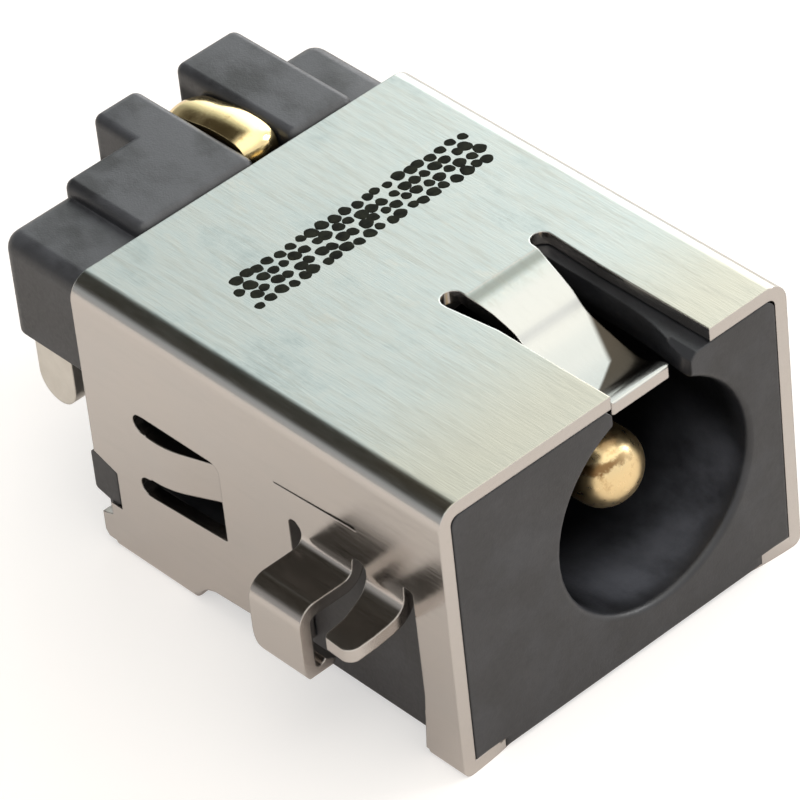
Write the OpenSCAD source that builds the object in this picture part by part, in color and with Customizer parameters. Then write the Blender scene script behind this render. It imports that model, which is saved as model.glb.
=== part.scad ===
// DC barrel jack, board-sunk type: folded sheet shell over a moulded housing,
// for a 4.8 mm barrel plug with a 1.65 mm centre pin.
// +Z up, mating face toward -Y, millimetres. The origin is the centre of the
// whole part in plan, at the plane its bottom flaps rest on.

/* [Whole part] */
// Length from the mating face to the rearmost plastic
part_length = 14.1; // [13.9:0.1:15]

/* [Shell] */
// Outside width across the side plates
shell_width = 9.1; // [8.9:0.1:9.5]
// Height of the top plate above the resting plane
shell_height = 6.65; // [6.5:0.05:6.8]
// Length of the folded tube along the plug axis
shell_length = 10.38; // [10.3:0.02:10.44]
// Thickness of the sheet
sheet = 0.3; // [0.2:0.05:0.35]
// Outside radius of the two long top bends
bend_radius = 0.5; // [0.4:0.05:0.7]
// Outside radius of the tight folds along the bottom
flap_radius = 0.2; // [0.05:0.05:0.3]

/* [Barrel opening] */
// Offset of the plug axis from the middle of the shell
bore_x = 0.86; // [0.8:0.02:0.92]
// Height of the plug axis above the resting plane
bore_z = 3.53; // [3.4:0.05:3.6]
// Radius of the opening for the plug barrel
bore_radius = 2.5; // [2.3:0.05:2.6]
// Depth of the opening from the mating face
bore_depth = 9; // [8:0.5:9.5]
// Radius of the rounded lip at the mouth
lip_radius = 0.14; // [0.05:0.01:0.2]

/* [Centre pin] */
// Radius of the pin's shank
pin_radius = 0.825; // [0.5:0.025:0.95]
// Distance of the pin's tip behind the mating face
pin_setback = 0.7; // [0.2:0.1:2]
// Length of the domed tip
pin_dome = 0.72; // [0.3:0.02:1.2]
// Radius of the collar that holds the pin in the housing
collar_radius = 1; // [0.95:0.01:1.05]

/* [Legs and feet] */
// Distance from the middle to the outer face of a leg
leg_reach = 5.99; // [5.8:0.05:6.3]
// Top of the leg's shoulder
shoulder_top = 3.6; // [3.5:0.05:3.65]
// Lowest point of the leg
leg_bottom = 1.75; // [1.2:0.05:2]
// Front edge of the leg, behind the mating face
leg_front = 2.66; // [2.6:0.02:2.8]
// Rear edge of the leg, behind the mating face
leg_rear = 4.08; // [3.9:0.02:4.2]
// Top of the surface-mount foot
foot_top = 3.47; // [3.4:0.01:3.5]
// Front edge of the surface-mount foot, behind the mating face
foot_front = 1.22; // [1.15:0.01:1.3]

/* [Housing] */
// Clearance left between the housing and the sheet
fit_gap = 0.03; // [0.02:0.01:0.05]
// Bottom face of the housing
housing_bottom = 0.125; // [0.1:0.005:0.15]
// Bottom of the block that overhangs behind the shell
block_bottom = 3.95; // [3.8:0.05:4.1]
// Rear face of the block's two shoulders, behind the mating face
block_rear = 12.95; // [12.8:0.05:13.1]
// Radius of the block's rounded edges
block_round = 0.4; // [0.2:0.02:0.4]

/* [Hidden] */

half_w = shell_width / 2;
inner_x = half_w - sheet;
inner_z = shell_height - sheet;
face_y = -part_length / 2;
house_x = inner_x - fit_gap;
house_z = inner_z - fit_gap;
past = 1; // how far a cutting shape runs past what it cuts

// Spring finger, in plan: where it leaves the top plate and where it ends
finger_root = 4.2;
finger_tip = 0.46;
finger_left = 0.29;
slot_left = -0.1;
slot_right = 2.51;
tip_slot_right = 1.99;

// Side plate: the leg gap's front edge and the notch that latches on the housing
relief_y = 0.93;
notch_y = 9.72;
barb_front = 6.46;
barb_root = 9;
barb_low = 2.58;
barb_high = 3.72;

// Gold strip and the channel it runs through
strip_x = 0.93;
strip_half = 0.43;
strip_sheet = 0.25;
channel_left = 0.45;
channel_right = 1.42;
terminal_y = 10.85;
eye_radius = 0.51;

// Solder tails
tail_x = 3.68;
tail_sheet = 0.3;
tail_front = 11.5;
tail_width = 1.1;
tail_bottom = 2.34;

// ---------- helpers ----------

function unit(v) = v / norm(v);

function arc(c, r, a0, a1, n) =
    [for (i = [0:n]) let (a = a0 + (a1 - a0) * i / n) c + r * [cos(a), sin(a)]];

function heading(p, i) =
    i == 0 ? unit(p[1] - p[0]) :
    i == len(p) - 1 ? unit(p[i] - p[i - 1]) :
    unit(unit(p[i + 1] - p[i]) + unit(p[i] - p[i - 1]));

function miter(p, i) =
    (i == 0 || i == len(p) - 1) ? 1 : 1 / (heading(p, i) * unit(p[i + 1] - p[i]));

function left_of(d) = [-d[1], d[0]];

// The path moved sideways by t, to its left when t is positive.
function beside(p, t) =
    [for (i = [0:len(p) - 1]) p[i] + left_of(heading(p, i)) * t * miter(p, i)];

function turned(p) = [for (i = [len(p) - 1:-1:0]) p[i]];

// A smooth run through the given points, n steps to each stretch.
function through(p, n) =
    concat([for (i = [0:len(p) - 2], j = [0:n - 1])
        let (
            a = p[max(i - 1, 0)], b = p[i], c = p[i + 1], d = p[min(i + 2, len(p) - 1)],
            t = j / n
        )
        (2 * b + (c - a) * t
            + (2 * a - 5 * b + 4 * c - d) * t * t
            + (3 * b - a - 3 * c + d) * t * t * t) / 2],
        [p[len(p) - 1]]);

// A strip of even thickness that follows a path.
module strip(p, t) {
    polygon(concat(p, turned(beside(p, t))));
}

// A drawing in (x, z) made solid between two distances behind the face.
module across(y0, y1) {
    translate([0, y1, 0])
        rotate([90, 0, 0])
            linear_extrude(y1 - y0)
                children();
}

// A drawing in (distance behind the face, z) made solid between two x values.
module sideways(x0, x1) {
    translate([x0, 0, 0])
        rotate([90, 0, 90])
            linear_extrude(x1 - x0)
                children();
}

// A plan drawing made solid between two heights.
module upward(z0, z1) {
    translate([0, 0, z0])
        linear_extrude(z1 - z0)
            children();
}

module both_sides() {
    for (s = [-1, 1])
        scale([s, 1, 1])
            children();
}

// Rounds a drawing's corners: outer ones by one radius, inner ones by another.
module soften(outer, inner) {
    offset(r = -inner, $fn = 32)
        offset(r = inner + outer, $fn = 32)
            offset(r = -outer, $fn = 32)
                children();
}

// A block from one corner to the other with its upright and top edges rounded.
module rounded_block(low, high, r) {
    hull()
        for (x = [low[0] + r, high[0] - r], y = [low[1] + r, high[1] - r]) {
            translate([x, y, high[2] - r])
                sphere(r, $fn = 32);
            translate([x, y, low[2]])
                cylinder(h = high[2] - low[2] - r, r = r, $fn = 32);
        }
}

// ---------- shell ----------

// The folded channel's outline: square at the open bottom, rounded at the top.
module arch(w, h, r) {
    hull() {
        translate([-w / 2, 0])
            square([w, h / 2]);
        for (s = [-1, 1])
            translate([s * (w / 2 - r), h - r])
                circle(r, $fn = 64);
    }
}

module tube() {
    across(0, shell_length)
        difference() {
            arch(shell_width, shell_height, bend_radius);
            translate([0, -past])
                arch(shell_width - 2 * sheet, inner_z + past, bend_radius - sheet);
        }
}

// Opening in the top plate around the spring finger, in plan.
module finger_opening() {
    soften(0, 0.06)
        polygon(concat(
            [[slot_left, -past], [slot_left - 0.02, 3], [slot_left - 0.19, 4.25]],
            arc([-0.04, 4.33], 0.25, 190, 0, 12),
            [[0.2, finger_root + 0.03], [2.1, finger_root + 0.03]],
            arc([2.34, 4.35], 0.235, 180, 0, 12),
            [[slot_right + 0.01, 3], [slot_right, -past]]
        ));
}

// Top face of the finger seen from the side: it leaves the plate in a bend,
// slopes down, dips to the contact and turns up again at the tip.
finger_line = concat(
    [[finger_root + 0.4, shell_height]],
    through([
        [finger_root + 0.08, shell_height],
        [3.88, shell_height - 0.09],
        [3.4, shell_height - 0.25],
        [3.05, shell_height - 0.4],
        [2.7, shell_height - 0.665],
        [2, shell_height - 0.868],
        [1.55, shell_height - 0.968],
        [1.25, shell_height - 0.993],
        [1, shell_height - 0.935],
        [0.72, shell_height - 0.77],
        [finger_tip, shell_height - 0.69]
    ], 6)
);

module finger() {
    corner = 0.08;
    intersection() {
        sideways(0, 3)
            soften(0.09, 0)
                strip(finger_line, sheet);
        upward(4, 7.5)
            polygon(concat(
                [[0.2, finger_root + 0.5], [0.2, finger_root]],
                through([[finger_left, 3.6], [finger_left + 0.05, 2.6], [finger_left + 0.04, 1]], 3),
                arc([finger_left + 0.04 + corner, finger_tip + corner], corner, 180, 270, 5),
                arc([1.87 - corner, finger_tip + corner], corner, 270, 360, 5),
                [[1.92, 3], [2.04, 3.9], [2.1, finger_root], [2.1, finger_root + 0.5]]
            ));
    }
}

// Relief, leg gap and the open area under them. The surface foot's own gap is
// only cut on the side that has the foot.
module leg_gap(with_foot) {
    foot_gap = [[0.95, 4.14], [1.03, 4.2], [1.2, 4.2], [foot_front, 4], [2.26, 3.98]];
    rear = leg_rear + 0.35;
    soften(0.04, 0.1)
        polygon(concat(
            [[relief_y + 0.2, -past], [relief_y + 0.12, 0.3], [relief_y, 1.6]],
            with_foot ? foot_gap : [[0.95, 3.3], [2.26, 3.3]],
            [[2.28, 4]],
            arc([2.46, 3.93], 0.19, 150, 20, 8),
            [[leg_front, 3.82], [leg_rear, 3.82], [leg_rear + 0.02, 3.95]],
            [[leg_rear + 0.14, 4.06], [leg_rear + 0.26, 4.06], [rear, 3.98], [rear, 0.74]],
            [[7.05, 0.6], [7.32, 0.5], [7.56, 0.28], [7.76, -0.02], [7.76, -past]]
        ));
}

module barb_window() {
    slot = 0.22;
    soften(0.05, 0.05)
        polygon(concat(
            [[barb_front - 0.04, 2.26], [8.6, 2.12]],
            arc([8.74, 2.12 + slot], slot, 270, 450, 12),
            [[8.6, barb_low], [8.6, barb_high]],
            arc([8.72, 4.17 - slot], slot, -90, 90, 12),
            [[8.6, 4.18]],
            arc([6.66, 3.94], 0.24, 90, 180, 8)
        ));
}

// Everything cut away from a side plate, drawn in (distance behind the face, z).
module side_opening(with_foot) {
    past_rear = shell_length + past;
    leg_gap(with_foot);
    barb_window();
    // latch notch in the rear edge
    soften(0.03, 0.12)
        polygon([[past_rear, 2.62], [10.3, 2.34], [notch_y, 2.14], [notch_y, 1.06], [9.95, 0.92],
            [10.3, 0.8], [past_rear, 0.78]]);
    // sloped rear corner
    polygon([
        [10.11, -past], [10.11, -0.01], [10.2, 0.08],
        [10.4, 0.36], [past_rear, 0.36], [past_rear, -past]
    ]);
    // thin lanced line above the leg
    polygon([
        [2.42, 4.875], [2.47, 4.93], [2.62, 4.92], [4.75, 4.775],
        [4.75, 4.745], [2.62, 4.86], [2.45, 4.85]
    ]);
}

// The barb itself: hinged at its rear, free end pressed into the housing.
module barb() {
    sweep = 2.4;
    depth = 0.57;
    bend = concat(
        [[barb_root, half_w]],
        arc([8.45, half_w - sweep], sweep, 90, 110, 8),
        [[barb_front, half_w - depth]]
    );
    intersection() {
        upward(2, 4.4)
            polygon(concat(
                [for (q = bend) [-q[1], q[0]]],
                turned([for (q = beside(bend, sheet)) [-q[1], q[0]]])
            ));
        sideways(-half_w - past, -half_w + past)
            soften(0.08, 0)
                polygon([[barb_root, barb_low], [barb_root, barb_high], [6.7, barb_high - 0.08],
                    [6.54, 3.58], [barb_front, 3.42], [barb_front, 2.84], [6.52, 2.74]]);
    }
}

// One through-hole leg: shoulder out, then down, lower end curled back in.
module leg() {
    shoulder = 0.24;
    knee = 0.46;
    curl = 0.42;
    corner = 0.75;
    line = concat(
        [[-half_w, 4.3]],
        arc([-half_w - shoulder, shoulder_top + shoulder], shoulder, 0, -90, 10),
        arc([-leg_reach + knee, shoulder_top - knee], knee, 90, 180, 16),
        arc([-leg_reach + curl, leg_bottom + curl], curl, 180, 335, 20)
    );
    intersection() {
        across(leg_front, leg_rear)
            strip(line, sheet);
        sideways(-7, -4)
            polygon(concat(
                [[leg_front, 5], [leg_front, leg_bottom + 0.12], [leg_front + 0.34, leg_bottom + 0.02]],
                arc([leg_rear - corner, leg_bottom + corner - 0.06], corner, 270, 360, 12),
                [[leg_rear, 5]]
            ));
    }
    // the plate just above the leg
    translate([-half_w, leg_front, 3.8])
        cube([sheet, leg_rear - leg_front, 0.5]);
}

// Surface foot, a shallow gull wing in front of the leg.
module foot() {
    sweep = 0.4;
    tip = 0.24;
    line = concat(
        [[-half_w, 4.3]],
        arc([-half_w - sweep, foot_top + 0.46], sweep, 0, -70, 12),
        [[-half_w - 0.42, foot_top + 0.045]],
        [[-half_w - 0.8, foot_top + 0.005], [-half_w - 1.1, foot_top], [-6, foot_top]]
    );
    intersection() {
        across(1, 2.6)
            strip(line, sheet);
        upward(3, 4.6)
            polygon(concat(
                [[-4, foot_front], [-5.75, foot_front]],
                arc([-5.75, foot_front + tip], tip, 270, 180, 10),
                [[-5.97, 1.9], [-5.88, 1.97], [-5.4, 2.02], [-4.9, 2.16], [-4.5, 2.28], [-4, 2.28]]
            ));
    }
}

// One bottom flap, folded in under the housing from the lower edge of a plate.
module flap(plan) {
    intersection() {
        across(-0.1, shell_length)
            polygon(concat(
                [[-half_w + sheet, sheet], [-half_w + sheet, 1.2], [-half_w, 1.2]],
                arc([-half_w + flap_radius, flap_radius], flap_radius, 180, 270, 8),
                [[-1.8, 0], [-1.8, sheet]]
            ));
        upward(-0.1, 1.3)
            polygon(plan);
    }
}

module front_flap() {
    flap(concat(
        [[-5, relief_y + 0.1], [-5, 0], [-4.3, 0]],
        through([[-4.05, 0.015], [-3.6, 0.055], [-3.1, 0.13], [-2.6, 0.22], [-2.16, 0.32]], 3),
        [[-2.1, 0.4], [-2.1, 0.8], [-2.2, 0.9], [-4.1, relief_y]]
    ));
}

module rear_flap() {
    flap([
        [-5, 7.7], [-4.1, 7.76], [-3.3, 7.84], [-3.2, 7.94],
        [-3.2, 9.8], [-3.3, 9.9], [-4.1, 10.02], [-5, 10.11]
    ]);
}

module shell_half(with_foot) {
    difference() {
        intersection() {
            tube();
            translate([-10, -past, flap_radius])
                cube([10, 20, 10]);
        }
        sideways(-half_w - past, -half_w + past)
            side_opening(with_foot);
    }
    leg();
    if (with_foot)
        foot();
    barb();
    front_flap();
    rear_flap();
}

module shell() {
    color([0.79, 0.79, 0.75])
        translate([0, face_y, 0]) {
            difference() {
                union() {
                    shell_half(true);
                    mirror([1, 0, 0])
                        shell_half(false);
                }
                upward(5.5, 8)
                    finger_opening();
            }
            finger();
        }
}

// ---------- housing ----------

// Main body in (x, z), inside the folded shell.
module body_section() {
    foot_cut = 0.18;
    round = 0.22;
    polygon(concat(
        [[-house_x + foot_cut, housing_bottom], [house_x - foot_cut, housing_bottom]],
        [[house_x, housing_bottom + foot_cut]],
        arc([house_x - round, house_z - round], round, 0, 90, 12),
        arc([-house_x + round, house_z - round], round, 90, 180, 12),
        [[-house_x, housing_bottom + foot_cut]]
    ));
}

// Block that overhangs behind the shell: a low part over the full width, and
// raised parts on both sides of the gold strip that close up to the sheet's edge.
module rear_block() {
    tier_y = shell_length + 0.1;
    tier_top = shell_height - 0.01;
    rounding = 0.22;
    rounded_block(
        [-house_x, shell_length - 0.7, block_bottom],
        [house_x, block_rear, house_z],
        block_round
    );
    rounded_block([-2.55, tier_y, 5], [channel_left, block_rear - 0.03, tier_top], rounding);
    rounded_block([-0.78, tier_y, block_bottom], [channel_left, part_length, tier_top], rounding);
    rounded_block([channel_right, tier_y, block_bottom], [3.1, part_length, tier_top], rounding);
}

module housing_solid() {
    across(0, shell_length + 0.16)
        body_section();
    rear_block();
    // floor of the strip's channel
    translate([channel_left - 0.2, shell_length, block_bottom])
        cube([channel_right - channel_left + 0.4, block_rear - shell_length - 0.06, 1.5]);
    // boss behind the pin, under the block
    across(10.4, terminal_y - 0.01)
        soften(0.1, 0)
            polygon([[-0.6, 2.2], [2.32, 2.2], [2.32, block_bottom + 0.3], [-0.6, block_bottom + 0.3]]);
    // latch lugs that sit in the notches of the side plates
    both_sides()
        sideways(house_x - 0.1, half_w - 0.04)
            soften(0.08, 0)
                polygon([
                    [10.54, 2.3], [10.3, 2.28], [9.8, 2.08],
                    [9.8, 1.26], [9.95, 1.18], [10.54, 1.32]
                ]);
}

module bore_cut() {
    mouth = bore_radius + lip_radius;
    relief = 0.12;
    translate([bore_x, 0, bore_z])
        rotate([-90, 0, 0])
            rotate_extrude($fn = 96)
                polygon(concat(
                    [[0, -past], [mouth + 0.4, -past], [mouth, -0.001]],
                    arc([mouth, lip_radius], lip_radius, 270, 180, 8),
                    [[bore_radius, bore_depth - relief], [bore_radius - relief, bore_depth]],
                    [[0, bore_depth]]
                ));
}

// Slot for the spring finger, open at the top and at the mouth, with a rolled
// upper edge on the side that the finger leaves free.
module finger_slot() {
    wall = 2.3;
    upward(bore_z + 0.6, 8)
        soften(0, 0.12)
            polygon(concat(
                [[slot_left, -past], [slot_left, 4.5], [slot_left + 0.2, 4.72]],
                [[wall - 0.2, 4.72], [wall, 4.5]],
                through([[wall, 2.2], [wall - 0.08, 1.4], [wall - 0.24, 0.7], [tip_slot_right, 0.25]], 5),
                [[tip_slot_right, -past]]
            ));
    for (q = [[slot_left, -past], [tip_slot_right, past]])
        translate([q[0], 0, house_z])
            rotate([0, 45, 0])
                translate([-0.1, -past, -0.1])
                    cube([0.2, 1.7, 0.2]);
}

module housing_pockets() {
    bed = 0.33;
    both_sides() {
        // room behind the barb
        sideways(house_x - 0.68, half_w + past)
            polygon([[6.3, 2.1], [6.3, 4.3], [9.1, 4.3], [9.1, 2.1]]);
        // beds for the folded flaps
        upward(-past, bed)
            polygon([
                [2, 0.27], [2.5, 0.16], [3.1, 0.06], [3.6, -0.02],
                [3.8, -past], [6, -past], [6, 1], [2, 1]
            ]);
        upward(-past, bed)
            polygon([[3.1, 7.5], [6, 7.5], [6, 10.3], [3.1, 10.2]]);
        // sockets for the solder tails
        translate([tail_x - 0.02, tail_front - 0.02, 3])
            cube([tail_sheet + 0.04, tail_width + 0.04, 2.06]);
    }
}

// Channel that the gold strip runs through, and the pin's own passage.
module terminal_channel() {
    width = channel_right - channel_left;
    upward(5.1, 8)
        translate([channel_left, shell_length + 0.12])
            square([width, 5]);
    translate([channel_left, terminal_y - 0.03, 2])
        cube([width, strip_sheet + 0.1, 6]);
    translate([channel_left, 13.1, 3])
        cube([width, 2, 6]);
    translate([bore_x, bore_depth - past, bore_z])
        rotate([-90, 0, 0])
            cylinder(h = 5, r = collar_radius + 0.01, $fn = 64);
}

module housing() {
    color([0.2, 0.2, 0.21])
        translate([0, face_y, 0])
            difference() {
                housing_solid();
                bore_cut();
                finger_slot();
                housing_pockets();
                terminal_channel();
            }
}

// ---------- contacts ----------

// Turned pin: domed tip, shank, collar in the housing and a riveted end that
// holds the gold strip.
module centre_pin() {
    collar_end = terminal_y - 0.02;
    head = terminal_y + 0.53;
    color([0.86, 0.68, 0.35])
        translate([bore_x, face_y, bore_z])
            rotate([-90, 0, 0])
                rotate_extrude($fn = 72)
                    polygon(concat(
                        [for (i = [0:16]) let (a = 90 * i / 16)
                            [pin_radius * sin(a), pin_setback + pin_dome * (1 - cos(a))]],
                        [[pin_radius, bore_depth], [collar_radius, bore_depth + 0.01]],
                        [[collar_radius, collar_end], [eye_radius - 0.01, collar_end]],
                        [[eye_radius - 0.01, head - strip_sheet], [0.72, head - strip_sheet]],
                        [[0.74, head - 0.2], [0.6, head - 0.08], [0.3, head], [0, head]]
                    ));
}

// A ribbon along a path in (distance behind the face, z), crowned across its width.
module crowned_ribbon(path, x, half_width, thickness, crown) {
    lanes = 10;
    ring = 2 * (lanes + 1);
    function bulge(u) = crown * (1 - u * u);
    points = [for (i = [0:len(path) - 1], k = [0:ring - 1])
        let (
            top = k <= lanes,
            u = top ? 2 * k / lanes - 1 : 1 - 2 * (k - lanes - 1) / lanes,
            q = path[i] + left_of(heading(path, i)) * (bulge(u) - (top ? 0 : thickness))
        )
        [x + u * half_width, q[0], q[1]]];
    sides = [for (i = [0:len(path) - 2], k = [0:ring - 1])
        let (a = i * ring + k, b = i * ring + (k + 1) % ring)
        [a, a + ring, b + ring, b]];
    first = [for (k = [0:ring - 1]) k];
    last = [for (k = [ring - 1:-1:0]) (len(path) - 1) * ring + k];
    polyhedron(points, concat(sides, [first, last]), convexity = 6);
}

// Gold strip: upright plate behind the housing wall, arch over the top, tail down at the rear.
module pin_terminal() {
    crown = 0.1;
    top = shell_height - 0.025;
    rear_y = 13.52;
    line = concat(
        [[terminal_y, 5.4]],
        through([
            [terminal_y, top - 0.62],
            [terminal_y + 0.03, top - 0.35],
            [terminal_y + 0.16, top - 0.12],
            [terminal_y + 0.42, top - 0.015],
            [terminal_y + 0.8, top],
            [terminal_y + 1.2, top - 0.03],
            [terminal_y + 1.6, top - 0.11],
            [rear_y - 0.47, top - 0.24],
            [rear_y - 0.16, top - 0.46],
            [rear_y - 0.02, top - 0.8],
            [rear_y, top - 1.2]
        ], 4),
        [[rear_y, 2.42]]
    );
    color([0.9, 0.72, 0.36])
        translate([0, face_y, 0]) {
            crowned_ribbon(line, strip_x, strip_half, strip_sheet, crown);
            difference() {
                union() {
                    translate([strip_x - strip_half, terminal_y, 2.75])
                        cube([2 * strip_half, strip_sheet, 2.9]);
                    translate([bore_x, terminal_y, bore_z])
                        rotate([-90, 0, 0])
                            cylinder(h = strip_sheet, r = 1.02, $fn = 64);
                }
                translate([bore_x, terminal_y - past, bore_z])
                    rotate([-90, 0, 0])
                        cylinder(h = 2 * past, r = eye_radius, $fn = 48);
            }
        }
}

// Flat solder tail with a rounded lower end, moulded into the block.
module tail(s) {
    round = tail_width / 2;
    color([0.83, 0.83, 0.8])
        translate([0, face_y, 0])
            scale([s, 1, 1])
                sideways(tail_x, tail_x + tail_sheet) {
                    translate([tail_front, tail_bottom + round])
                        square([tail_width, 2.15]);
                    translate([tail_front + round, tail_bottom + round])
                        circle(round, $fn = 64);
                }
}

module tail_left() {
    tail(-1);
}

module tail_right() {
    tail(1);
}

shell();
housing();
centre_pin();
pin_terminal();
tail_left();
tail_right();
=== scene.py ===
"""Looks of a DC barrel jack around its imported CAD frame: materials, ink mark, light and camera."""
import math

import bmesh
import bpy
from mathutils import Matrix, Vector


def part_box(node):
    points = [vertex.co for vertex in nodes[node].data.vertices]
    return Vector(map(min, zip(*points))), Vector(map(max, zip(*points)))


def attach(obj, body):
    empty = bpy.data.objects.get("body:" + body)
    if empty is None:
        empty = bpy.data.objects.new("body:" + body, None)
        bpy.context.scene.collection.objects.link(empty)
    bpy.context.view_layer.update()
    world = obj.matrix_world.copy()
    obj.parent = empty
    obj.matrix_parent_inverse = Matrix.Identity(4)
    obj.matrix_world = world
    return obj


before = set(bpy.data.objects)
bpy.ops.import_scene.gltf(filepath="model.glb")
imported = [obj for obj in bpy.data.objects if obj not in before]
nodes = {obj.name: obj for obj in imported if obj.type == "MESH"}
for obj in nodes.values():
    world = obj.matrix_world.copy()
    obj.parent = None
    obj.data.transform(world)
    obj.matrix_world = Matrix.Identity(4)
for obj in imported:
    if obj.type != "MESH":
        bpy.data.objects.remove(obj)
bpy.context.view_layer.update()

MM = 0.001
SHELL_LOW, SHELL_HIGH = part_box("shell")
PIN_LOW, PIN_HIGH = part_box("centre_pin")
TOP_Z = SHELL_HIGH.z
FRONT_Y = SHELL_LOW.y
SHELL_DEPTH = (SHELL_HIGH.y - SHELL_LOW.y) / MM
PIN_MIDDLE = (PIN_LOW + PIN_HIGH) / 2

SHARP_TURN = math.radians(32)  # faces that meet at a larger angle have a true edge between them


# ---------------------------------------------------------------- node helpers

class Graph:
    """A short way to write a node material."""

    def __init__(self, tree):
        self.tree = tree
        tree.nodes.clear()

    def add(self, kind, props=None, **inputs):
        """A new node; an input's name is written with _ for each space."""
        node = self.tree.nodes.new(kind)
        for key, value in (props or {}).items():
            setattr(node, key, value)
        for key, value in inputs.items():
            self.set(node, key.replace("_", " "), value)
        return node

    def set(self, node, key, value):
        """Links a socket to the node's input, or writes a plain value there."""
        if isinstance(value, bpy.types.NodeSocket):
            self.tree.links.new(value, node.inputs[key])
        else:
            node.inputs[key].default_value = value

    def math(self, operation, a, b=0.0):
        node = self.add("ShaderNodeMath", {"operation": operation})
        self.set(node, 0, a)
        self.set(node, 1, b)
        return node.outputs[0]

    def plus(self, a, b):
        return self.math("ADD", a, b)

    def minus(self, a, b):
        return self.math("SUBTRACT", a, b)

    def times(self, product, *factors):
        for factor in factors:
            product = self.math("MULTIPLY", product, factor)
        return product

    def mix(self, factor, a, b):
        """Colour a where the factor is 0, colour b where it is 1."""
        node = self.add("ShaderNodeMix", {"data_type": "RGBA"})
        self.set(node, 0, factor)
        self.set(node, 6, a)
        self.set(node, 7, b)
        return node.outputs[2]

    def spread(self, value, start, end, low=0.0, high=1.0, easing="LINEAR"):
        """low at start and high at end, a straight line between, and level past both."""
        node = self.add("ShaderNodeMapRange", {"interpolation_type": easing}, Value=value,
                        From_Min=start, From_Max=end, To_Min=low, To_Max=high)
        return node.outputs[0]

    def smooth(self, value, start, end):
        """0 at start and 1 at end, eased in between."""
        return self.spread(value, start, end, easing="SMOOTHSTEP")

    def ramp(self, value, stops):
        node = self.add("ShaderNodeValToRGB")
        self.set(node, 0, value)
        marks = node.color_ramp.elements
        while len(marks) < len(stops):
            marks.new(0.5)
        for mark, (place, colour) in zip(marks, stops):
            mark.position = place
            mark.color = colour
        return node.outputs[0]

    def place_mm(self, stretch=(1, 1, 1)):
        """The object's own coordinates in millimetres, stretched."""
        where = self.add("ShaderNodeTexCoord").outputs["Object"]
        node = self.add("ShaderNodeMapping", Vector=where, Scale=[factor / MM for factor in stretch])
        return node.outputs[0]

    def split(self, vector):
        node = self.add("ShaderNodeSeparateXYZ", Vector=vector)
        return [node.outputs[axis] for axis in "XYZ"]

    def facing(self, direction):
        """How squarely a surface faces the direction: 1 square on, 0 from the side."""
        node = self.add("ShaderNodeVectorMath", {"operation": "DOT_PRODUCT"})
        self.set(node, 0, self.add("ShaderNodeNewGeometry").outputs["Normal"])
        self.set(node, 1, Vector(direction).normalized())
        return node.outputs["Value"]

    def noise(self, scale, stretch=(1, 1, 1), detail=3.0, roughness=0.5):
        node = self.add("ShaderNodeTexNoise", Vector=self.place_mm(stretch), Scale=scale,
                        Detail=detail, Roughness=roughness)
        return node.outputs["Fac"]

    def soft_edge(self, radius_mm):
        """A normal that rounds the edges by this much."""
        node = self.add("ShaderNodeBevel", {"samples": 6}, Radius=radius_mm * MM)
        return node.outputs[0]

    def bump(self, height, distance_mm, normal=None):
        node = self.add("ShaderNodeBump", Height=height, Distance=distance_mm * MM)
        if normal is not None:
            self.set(node, "Normal", normal)
        return node.outputs[0]


def tone(red, green, blue):
    return (red, green, blue, 1.0)


def grey(level):
    return tone(level, level, level)


def material(name):
    made = bpy.data.materials.new(name)
    made.use_nodes = True
    return made, Graph(made.node_tree)


def surface(graph, **inputs):
    """Ends a material in one surface shader."""
    shader = graph.add("ShaderNodeBsdfPrincipled", **inputs)
    graph.add("ShaderNodeOutputMaterial", Surface=shader.outputs[0])


# ---------------------------------------------------------------- nickel sheet

def top_colour(g, cloud, behind_face):
    """Faintly green mottling that turns straw-coloured towards the mating face."""
    green = g.ramp(cloud, [(0.3, tone(0.44, 0.485, 0.475)), (0.42, tone(0.52, 0.56, 0.545)),
                           (0.5, tone(0.55, 0.575, 0.55)), (0.58, tone(0.525, 0.565, 0.55)),
                           (0.68, tone(0.58, 0.585, 0.545))])
    near_mouth = g.smooth(behind_face, 3.6, 0.4)
    return g.mix(g.times(near_mouth, 0.85), green, tone(0.56, 0.525, 0.435))


def side_colour(g, cloud, finger):
    """Warm on the side plates and nearly neutral on the spring finger."""
    warm = g.ramp(cloud, [(0.34, tone(0.60, 0.562, 0.53)), (0.66, tone(0.585, 0.555, 0.53))])
    return g.mix(finger, warm, tone(0.575, 0.58, 0.56))


def finger_fold_shade(g, across, behind_face):
    """Painted shade: a dark band along the line where the spring finger bends down out of the top plate."""
    root, middle, half_width = 4.1, 1.15, 1.02
    line = g.times(g.smooth(behind_face, root - 0.26, root - 0.04),
                   g.smooth(behind_face, root + 0.2, root + 0.02))
    off_middle = g.math("ABSOLUTE", g.minus(across, middle))
    return g.times(line, g.smooth(off_middle, half_width + 0.1, half_width))


def finger_corner_shade(g, across, behind_face):
    """Painted shade on the right-hand corner of the finger behind its lip, cut off by two slanting borders.
    """
    lip, wide_part = 0.8, 3.3
    rear_border = g.plus(g.times(behind_face, 0.47), 0.61)
    front_border = g.minus(g.times(behind_face, 1.72), 1.4)
    beyond = g.minus(across, g.math("MINIMUM", rear_border, front_border))
    between = g.times(g.smooth(behind_face, lip, lip + 0.15),
                      g.smooth(behind_face, wide_part, wide_part - 0.7))
    return g.times(g.smooth(beyond, -0.05, 0.1), between)


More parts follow.
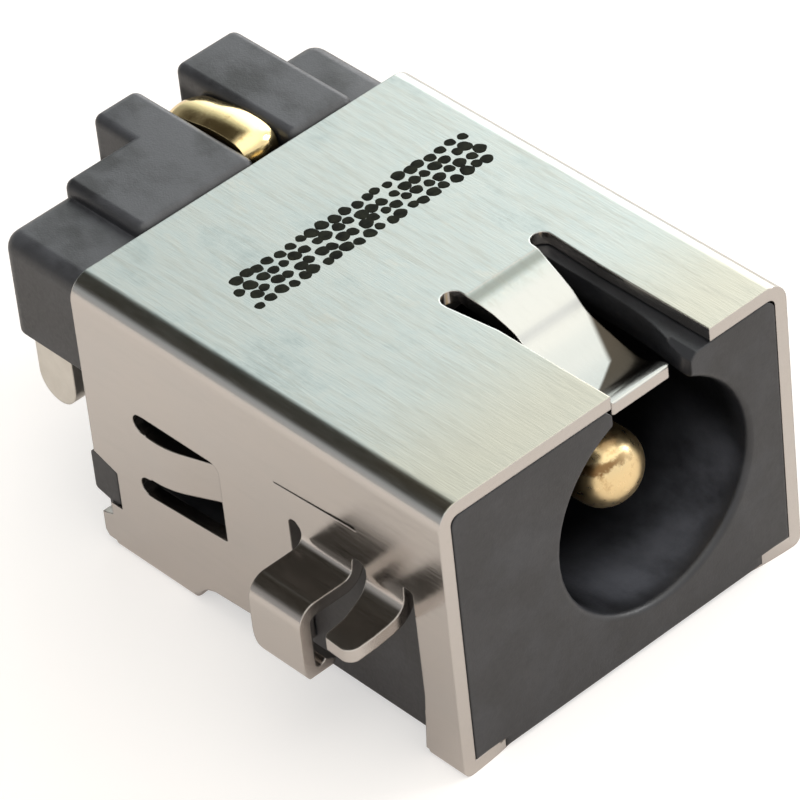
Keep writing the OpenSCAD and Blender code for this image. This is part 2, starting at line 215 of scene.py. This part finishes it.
def nickel_sheet():
    """Bright nickel plating: brushed lengthwise and faintly green on top, smooth and warm on the sides."""
    made, g = material("nickel_sheet")
    streaks = g.noise(1.0, (7, 0.6, 7), detail=6.0, roughness=0.7)
    fine = g.noise(1.0, (38, 2.0, 38), detail=2.0)
    cloud = g.noise(0.8, (1.2, 0.6, 1), detail=6.0, roughness=0.68)

    # Places are in mm: across from the middle, behind the mating face, and in height above the board.
    # The legs' tops, the finger and the top plate all face up, and differ in height.
    across, along, height = g.split(g.place_mm())
    behind_face = g.minus(along, FRONT_Y / MM)
    below_top = g.minus(TOP_Z / MM, height)
    facing_up = g.facing((0, 0, 1))
    level = g.smooth(facing_up, 0.75, 0.97)
    top = g.times(level, g.smooth(below_top, 0.2, 0.08))
    finger = g.times(g.smooth(facing_up, 0.3, 0.7), g.smooth(height, 5.0, 5.4))
    leg_top_shade = g.times(g.smooth(facing_up, 0.2, 0.8), g.smooth(height, 4.7, 4.2))
    fold_shade = g.times(finger_fold_shade(g, across, behind_face), level)
    corner_shade = g.times(finger_corner_shade(g, across, behind_face), finger, g.smooth(height, 6.5, 6.3))
    brushed = g.times(g.smooth(streaks, 0.44, 0.7), g.plus(g.times(top, 0.34), 0.06))

    base = g.mix(top, side_colour(g, cloud, finger), top_colour(g, cloud, behind_face))
    base = g.mix(brushed, base, tone(0.42, 0.41, 0.36))
    # Painted shade darkens the legs' tops.
    base = g.mix(g.times(leg_top_shade, 0.4), base, tone(0.17, 0.145, 0.12))
    # Painted shade along the finger's fold.
    base = g.mix(g.times(fold_shade, 0.7), base, tone(0.2, 0.21, 0.18))
    # Painted shade on the finger's right-hand corner behind its lip.
    base = g.mix(corner_shade, base, tone(0.075, 0.062, 0.048))

    lines = g.plus(streaks, fine)
    depth = g.times(lines, g.plus(g.times(top, 0.7), 0.3))
    surface(g, Base_Color=base, Metallic=1.0, Roughness=g.spread(lines, 0.6, 1.4, 0.15, 0.27),
            Normal=g.bump(depth, 0.001, g.soft_edge(0.045)))
    return made


# ---------------------------------------------------------------- plastic, gold, tin and ink

def distance_from_pin_axis(g, across, height):
    sideways = g.math("POWER", g.minus(across, PIN_MIDDLE.x / MM), 2.0)
    upwards = g.math("POWER", g.minus(height, PIN_MIDDLE.z / MM), 2.0)
    return g.math("SQRT", g.plus(sideways, upwards))


def housing_plastic():
    """Black moulded plastic with paler patches, most on the block's top; painted shade in the plug opening,
    painted light on its lower wall.
    """
    made, g = material("housing_plastic")
    cloud = g.noise(0.8, detail=4.0, roughness=0.6)
    grain = g.noise(26.0, detail=2.0)
    specks = g.noise(9.0, detail=5.0, roughness=0.75)
    patches = g.noise(0.9, (1, 0.7, 1), detail=5.0, roughness=0.55)

    across, along, height = g.split(g.place_mm())
    behind_face = g.minus(along, FRONT_Y / MM)
    off_axis = distance_from_pin_axis(g, across, height)
    block_top = g.times(g.smooth(behind_face, SHELL_DEPTH, SHELL_DEPTH + 0.3),
                        g.smooth(g.facing((0, 0, 1)), 0.5, 0.95))
    # The opening's painted shade has no rear limit, so it also darkens a round patch on the back of the
    # housing.
    opening_radius = 2.6
    opening_shade = g.times(g.smooth(behind_face, 0.05, 0.6),
                      g.smooth(off_axis, opening_radius + 0.25, opening_radius))
    lower_right = g.smooth(g.facing((-0.45, 0, 0.89)), 0.3, 0.95)
    painted_light_wall = g.times(lower_right, opening_shade, g.smooth(behind_face, 3.0, 0.8))

    base = g.ramp(cloud, [(0.3, tone(0.010, 0.0105, 0.0125)), (0.55, tone(0.015, 0.0155, 0.0185)),
                          (0.8, tone(0.023, 0.0235, 0.027))])
    base = g.mix(g.times(g.smooth(patches, 0.42, 0.7), 0.22), base, tone(0.055, 0.06, 0.072))
    # Paler patches on the block's top, where it faces up.
    base = g.mix(g.times(g.smooth(patches, 0.33, 0.6), block_top), base, tone(0.06, 0.062, 0.071))
    # Painted shade: the inside of the plug opening is darkened, and its reflections are dulled below.
    base = g.mix(opening_shade, base, tone(0.0035, 0.0037, 0.0045))
    # Painted light: a pale mottled patch on the lower wall of the plug opening, near the mouth and fading
    # deeper in.
    base = g.mix(g.times(g.smooth(patches, 0.1, 0.75), painted_light_wall), base, tone(0.115, 0.12, 0.142))

    surface(g, Base_Color=base, Roughness=g.spread(specks, 0.3, 0.7, 0.34, 0.5), IOR=1.62,
            Specular_IOR_Level=g.minus(0.5, g.times(opening_shade, 0.37)),
            Normal=g.bump(grain, 0.0035, g.soft_edge(0.06)))
    return made


def tip_streak(g, wear):
    """A ragged band across the upper left of the pin's tip, which fades to the right."""
    rise, slope, half_width = 0.52, 0.12, 0.12
    across, _, height = g.split(g.place_mm())
    across = g.minus(across, PIN_MIDDLE.x / MM)
    height = g.minus(height, PIN_MIDDLE.z / MM)
    ragged = g.times(g.minus(wear, 0.5), 0.4)
    above_line = g.minus(g.minus(height, rise), g.times(across, slope))
    off_line = g.math("ABSOLUTE", g.plus(above_line, ragged))
    return g.times(g.smooth(off_line, half_width, half_width - 0.09), g.smooth(across, 0.5, -0.35))


def gold(name, plating, smoothest, roughest, streaked=False):
    """Gold plating with worn spots, and a brown streak on the tip where streaked."""
    made, g = material(name)
    wear = g.noise(3.0, detail=5.0, roughness=0.65)
    swirl = g.noise(9.0, (1, 0.4, 1), detail=3.0)
    base = g.mix(g.ramp(wear, [(0.56, grey(0)), (0.76, grey(0.7))]), plating, tone(0.42, 0.22, 0.07))
    if streaked:
        base = g.mix(g.times(tip_streak(g, wear), 0.85), base, tone(0.2, 0.085, 0.02))
    surface(g, Base_Color=base, Metallic=1.0, Roughness=g.spread(swirl, 0.3, 0.7, smoothest, roughest),
            Normal=g.bump(swirl, 0.002, g.soft_edge(0.03)))
    return made


def tin():
    made, g = material("tinned_tail")
    cloud = g.noise(2.2, detail=4.0)
    base = g.ramp(cloud, [(0.3, tone(0.64, 0.61, 0.55)), (0.7, tone(0.72, 0.69, 0.63))])
    surface(g, Base_Color=base, Metallic=1.0, Roughness=0.34,
            Normal=g.bump(g.noise(7.0), 0.006, g.soft_edge(0.06)))
    return made


def ink():
    made, g = material("ink")
    base = g.ramp(g.noise(7.0), [(0.35, tone(0.005, 0.006, 0.004)), (0.7, tone(0.016, 0.018, 0.011))])
    surface(g, Base_Color=base, Roughness=0.8, Specular_IOR_Level=0.12, Normal=g.bump(g.noise(20.0), 0.003))
    return made


def dress(node, made):
    """Puts a material on the whole of a node."""
    slots = nodes[node].material_slots
    if not slots:
        nodes[node].data.materials.append(made)
    for slot in slots:
        slot.link = "OBJECT"
        slot.material = made


# ---------------------------------------------------------------- shading

def smooth_shading():
    """A modifier that shades small turns smooth and keeps true edges sharp."""
    tree = bpy.data.node_groups.new("smooth_shading", "GeometryNodeTree")
    tree.interface.new_socket("Geometry", in_out="INPUT", socket_type="NodeSocketGeometry")
    tree.interface.new_socket("Geometry", in_out="OUTPUT", socket_type="NodeSocketGeometry")
    step = tree.nodes.new("NodeGroupInput").outputs[0]

    def chain(kind, settings=None, **inputs):
        """Adds a node that works on the geometry so far."""
        nonlocal step
        node = tree.nodes.new(kind)
        for key, value in (settings or {}).items():
            setattr(node, key, value)
        for key, value in inputs.items():
            node.inputs[key.replace("_", " ")].default_value = value
        tree.links.new(step, node.inputs[0])
        step = node.outputs[0]
        return node

    chain("GeometryNodeRemoveAttribute", Name="custom_normal")
    chain("GeometryNodeMergeByDistance", Distance=1e-6)
    chain("GeometryNodeSetShadeSmooth", Shade_Smooth=True)
    sharpen = chain("GeometryNodeSetShadeSmooth", {"domain": "EDGE"}, Shade_Smooth=False)
    turn = tree.nodes.new("GeometryNodeInputMeshEdgeAngle").outputs[0]
    sharp = tree.nodes.new("FunctionNodeCompare")
    sharp.data_type = "FLOAT"
    sharp.operation = "GREATER_THAN"
    sharp.inputs[1].default_value = SHARP_TURN
    tree.links.new(turn, sharp.inputs[0])
    tree.links.new(sharp.outputs[0], sharpen.inputs["Selection"])
    tree.links.new(step, tree.nodes.new("NodeGroupOutput").inputs[0])
    return tree


def shade_smooth(node, tree):
    smoother = nodes[node].modifiers.new("smooth_shading", "NODES")
    smoother.node_group = tree
    weights = nodes[node].modifiers.new("even_normals", "WEIGHTED_NORMAL")
    weights.keep_sharp = True
    weights.weight = 100


# ---------------------------------------------------------------- ink mark

def ink_dot(shape, x, y, radius, phase):
    """A low dome of ink on the top plate, with a slightly uneven rim that the phase turns."""
    sides = 18
    rings = []
    for size, height in ((1.0, -0.002), (0.93, 0.0045), (0.7, 0.0065)):
        ring = []
        for turn in (2 * math.pi * side / sides for side in range(sides)):
            reach_x = radius * size * (1 + 0.09 * math.sin(3 * turn + phase))
            reach_y = radius * size * (1 + 0.07 * math.cos(2 * turn - phase))
            ring.append(shape.verts.new((x + reach_x * math.cos(turn), y + reach_y * math.sin(turn),
                                         TOP_Z + height * MM)))
        rings.append(ring)
    shape.faces.new(rings[-1])
    for low, high in zip(rings, rings[1:]):
        for side in range(sides):
            after = (side + 1) % sides
            shape.faces.new((low[side], low[after], high[after], high[side]))


def ink_mark():
    """A plain dotted bar printed across the top plate; it spells and encodes nothing."""
    columns, rows = 22, 4
    step_x, step_y = 0.285 * MM, 0.29 * MM
    middle_x, middle_y = 0.5 * MM, FRONT_Y + 7.45 * MM
    shape = bmesh.new()
    for column in range(columns):
        for row in range(rows):
            scatter = (column * 37 + row * 61 + column * row * 17) % 101
            radius = (0.112 + 0.0005 * scatter) * MM
            stagger = row % 2 / 2
            x = middle_x + (column + stagger - columns / 2 + 0.25) * step_x + (scatter % 7 - 3) * 0.012 * MM
            y = middle_y + (row - (rows - 1) / 2) * step_y + (scatter % 5 - 2) * 0.016 * MM
            ink_dot(shape, x, y, radius, scatter)
    for face in shape.faces:
        face.smooth = True
    mesh = bpy.data.meshes.new("ink_mark")
    shape.to_mesh(mesh)
    shape.free()
    mark = bpy.data.objects.new("ink_mark", mesh)
    bpy.context.scene.collection.objects.link(mark)
    mesh.materials.append(ink())
    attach(mark, "root")


# ---------------------------------------------------------------- light, floor and camera

def background_rays(g, path):
    """1 for rays that meet the plain white background: the camera's own, straight or through a piece."""
    return g.math("MAXIMUM", path["Is Camera Ray"], path["Is Transmission Ray"])


def white_floor():
    """White to the camera, a little paler than its own colour to the metal, with the object's shadow."""
    half = 1.5  # metres
    corners = [(-half, -half, 0), (half, -half, 0), (half, half, 0), (-half, half, 0)]
    mesh = bpy.data.meshes.new("floor")
    mesh.from_pydata(corners, [], [(0, 1, 2, 3)])
    floor = bpy.data.objects.new("floor", mesh)
    bpy.context.scene.collection.objects.link(floor)
    made, g = material("floor")
    path = g.add("ShaderNodeLightPath").outputs
    shown = background_rays(g, path)
    matt = g.add("ShaderNodeBsdfDiffuse", Color=tone(0.62, 0.585, 0.56)).outputs[0]
    level = g.plus(g.times(shown, 0.5), g.times(path["Is Glossy Ray"], 0.22))
    glow_colour = g.mix(shown, tone(1, 0.9, 0.84), grey(1))
    glow = g.add("ShaderNodeEmission", Strength=level, Color=glow_colour).outputs[0]
    both = g.add("ShaderNodeAddShader")
    g.set(both, 0, matt)
    g.set(both, 1, glow)
    g.add("ShaderNodeOutputMaterial", Surface=both.outputs[0])
    mesh.materials.append(made)


def studio():
    """A white background, and for the metal a room: bright on the right, dark high up on the rear left."""
    world = bpy.data.worlds.new("studio")
    bpy.context.scene.world = world
    world.use_nodes = True
    g = Graph(world.node_tree)
    path = g.add("ShaderNodeLightPath").outputs
    shown = background_rays(g, path)
    x, y, z = g.split(g.add("ShaderNodeTexCoord").outputs["Generated"])

    left_to_right = g.plus(g.times(x, 0.5), 0.5)
    walls = g.ramp(left_to_right, [(0.0, grey(0.55)), (0.58, grey(0.3)), (0.66, tone(0.36, 0.39, 0.375)),
                                   (0.74, tone(1.02, 1.08, 1.055)), (0.81, tone(2.2, 2.28, 2.2)),
                                   (0.86, grey(2.6)), (0.95, grey(3.2))])
    in_front = grey(0.9)
    walls = g.mix(g.smooth(y, -0.2, 0.15), in_front, walls)
    ceiling = g.times(g.smooth(z, 0.45, 0.85), g.smooth(y, 0.35, 0.05))
    dark_corner = g.times(g.smooth(y, 0.3, 0.45), g.smooth(x, 0.38, 0.18), g.smooth(z, 0.28, 0.56))
    ground = g.smooth(z, 0.0, -0.03)
    colour = g.mix(ceiling, walls, tone(1.62, 1.6, 1.5))
    colour = g.mix(dark_corner, colour, tone(0.048, 0.043, 0.034))
    colour = g.mix(ground, colour, tone(0.66, 0.62, 0.58))

    room = g.add("ShaderNodeBackground", Color=colour, Strength=1.0).outputs[0]
    white = g.add("ShaderNodeBackground", Color=grey(1), Strength=1.0).outputs[0]
    pick = g.add("ShaderNodeMixShader")
    g.set(pick, 0, shown)
    g.set(pick, 1, room)
    g.set(pick, 2, white)
    g.add("ShaderNodeOutputWorld", Surface=pick.outputs[0])


def softbox(name, direction, distance, size, power):
    """A square lamp that faces the object."""
    lamp = bpy.data.lights.new(name, "AREA")
    lamp.size = size
    lamp.energy = power
    holder = bpy.data.objects.new(name, lamp)
    bpy.context.scene.collection.objects.link(holder)
    away = Vector(direction).normalized()
    holder.location = away * distance
    holder.rotation_euler = away.to_track_quat("Z", "Y").to_euler()


def camera():
    """Looks down on the mating face from the front left, slightly rolled."""
    azimuth, elevation, roll = math.radians(-38.74), math.radians(39.69), math.radians(-6.58)
    aim = Vector((-0.51, -0.965, 3.35)) * MM
    distance = 118.8 * MM
    away = Vector((math.sin(azimuth) * math.cos(elevation), -math.cos(azimuth) * math.cos(elevation),
                   math.sin(elevation)))
    level = Vector((math.cos(azimuth), math.sin(azimuth), 0))
    upright = away.cross(level)
    right = level * math.cos(roll) + upright * math.sin(roll)
    up = upright * math.cos(roll) - level * math.sin(roll)
    spot = aim + away * distance
    data = bpy.data.cameras.new("camera")
    data.sensor_width = 36.0
    data.lens = 274.6
    data.shift_x, data.shift_y = 0.0158, 0.0058
    data.clip_start = 0.01
    data.clip_end = 10.0
    holder = bpy.data.objects.new("camera", data)
    bpy.context.scene.collection.objects.link(holder)
    holder.matrix_world = Matrix((
        (right.x, up.x, away.x, spot.x),
        (right.y, up.y, away.y, spot.y),
        (right.z, up.z, away.z, spot.z),
        (0, 0, 0, 1),
    ))
    bpy.context.scene.camera = holder


# ---------------------------------------------------------------- the scene

shading = smooth_shading()
for name in nodes:
    shade_smooth(name, shading)

dress("shell", nickel_sheet())
dress("housing", housing_plastic())
dress("centre_pin", gold("gold_pin", tone(0.93, 0.72, 0.40), smoothest=0.26, roughest=0.36, streaked=True))
dress("pin_terminal", gold("gold_strip", tone(0.95, 0.76, 0.40), smoothest=0.12, roughest=0.2))
tin_finish = tin()
dress("tail_left", tin_finish)
dress("tail_right", tin_finish)

ink_mark()
white_floor()
studio()
softbox("key", direction=(0.9, -0.5, 0.5), distance=0.3, size=0.08, power=0.2)
camera()
bpy.context.scene.view_settings.view_transform = "Standard"
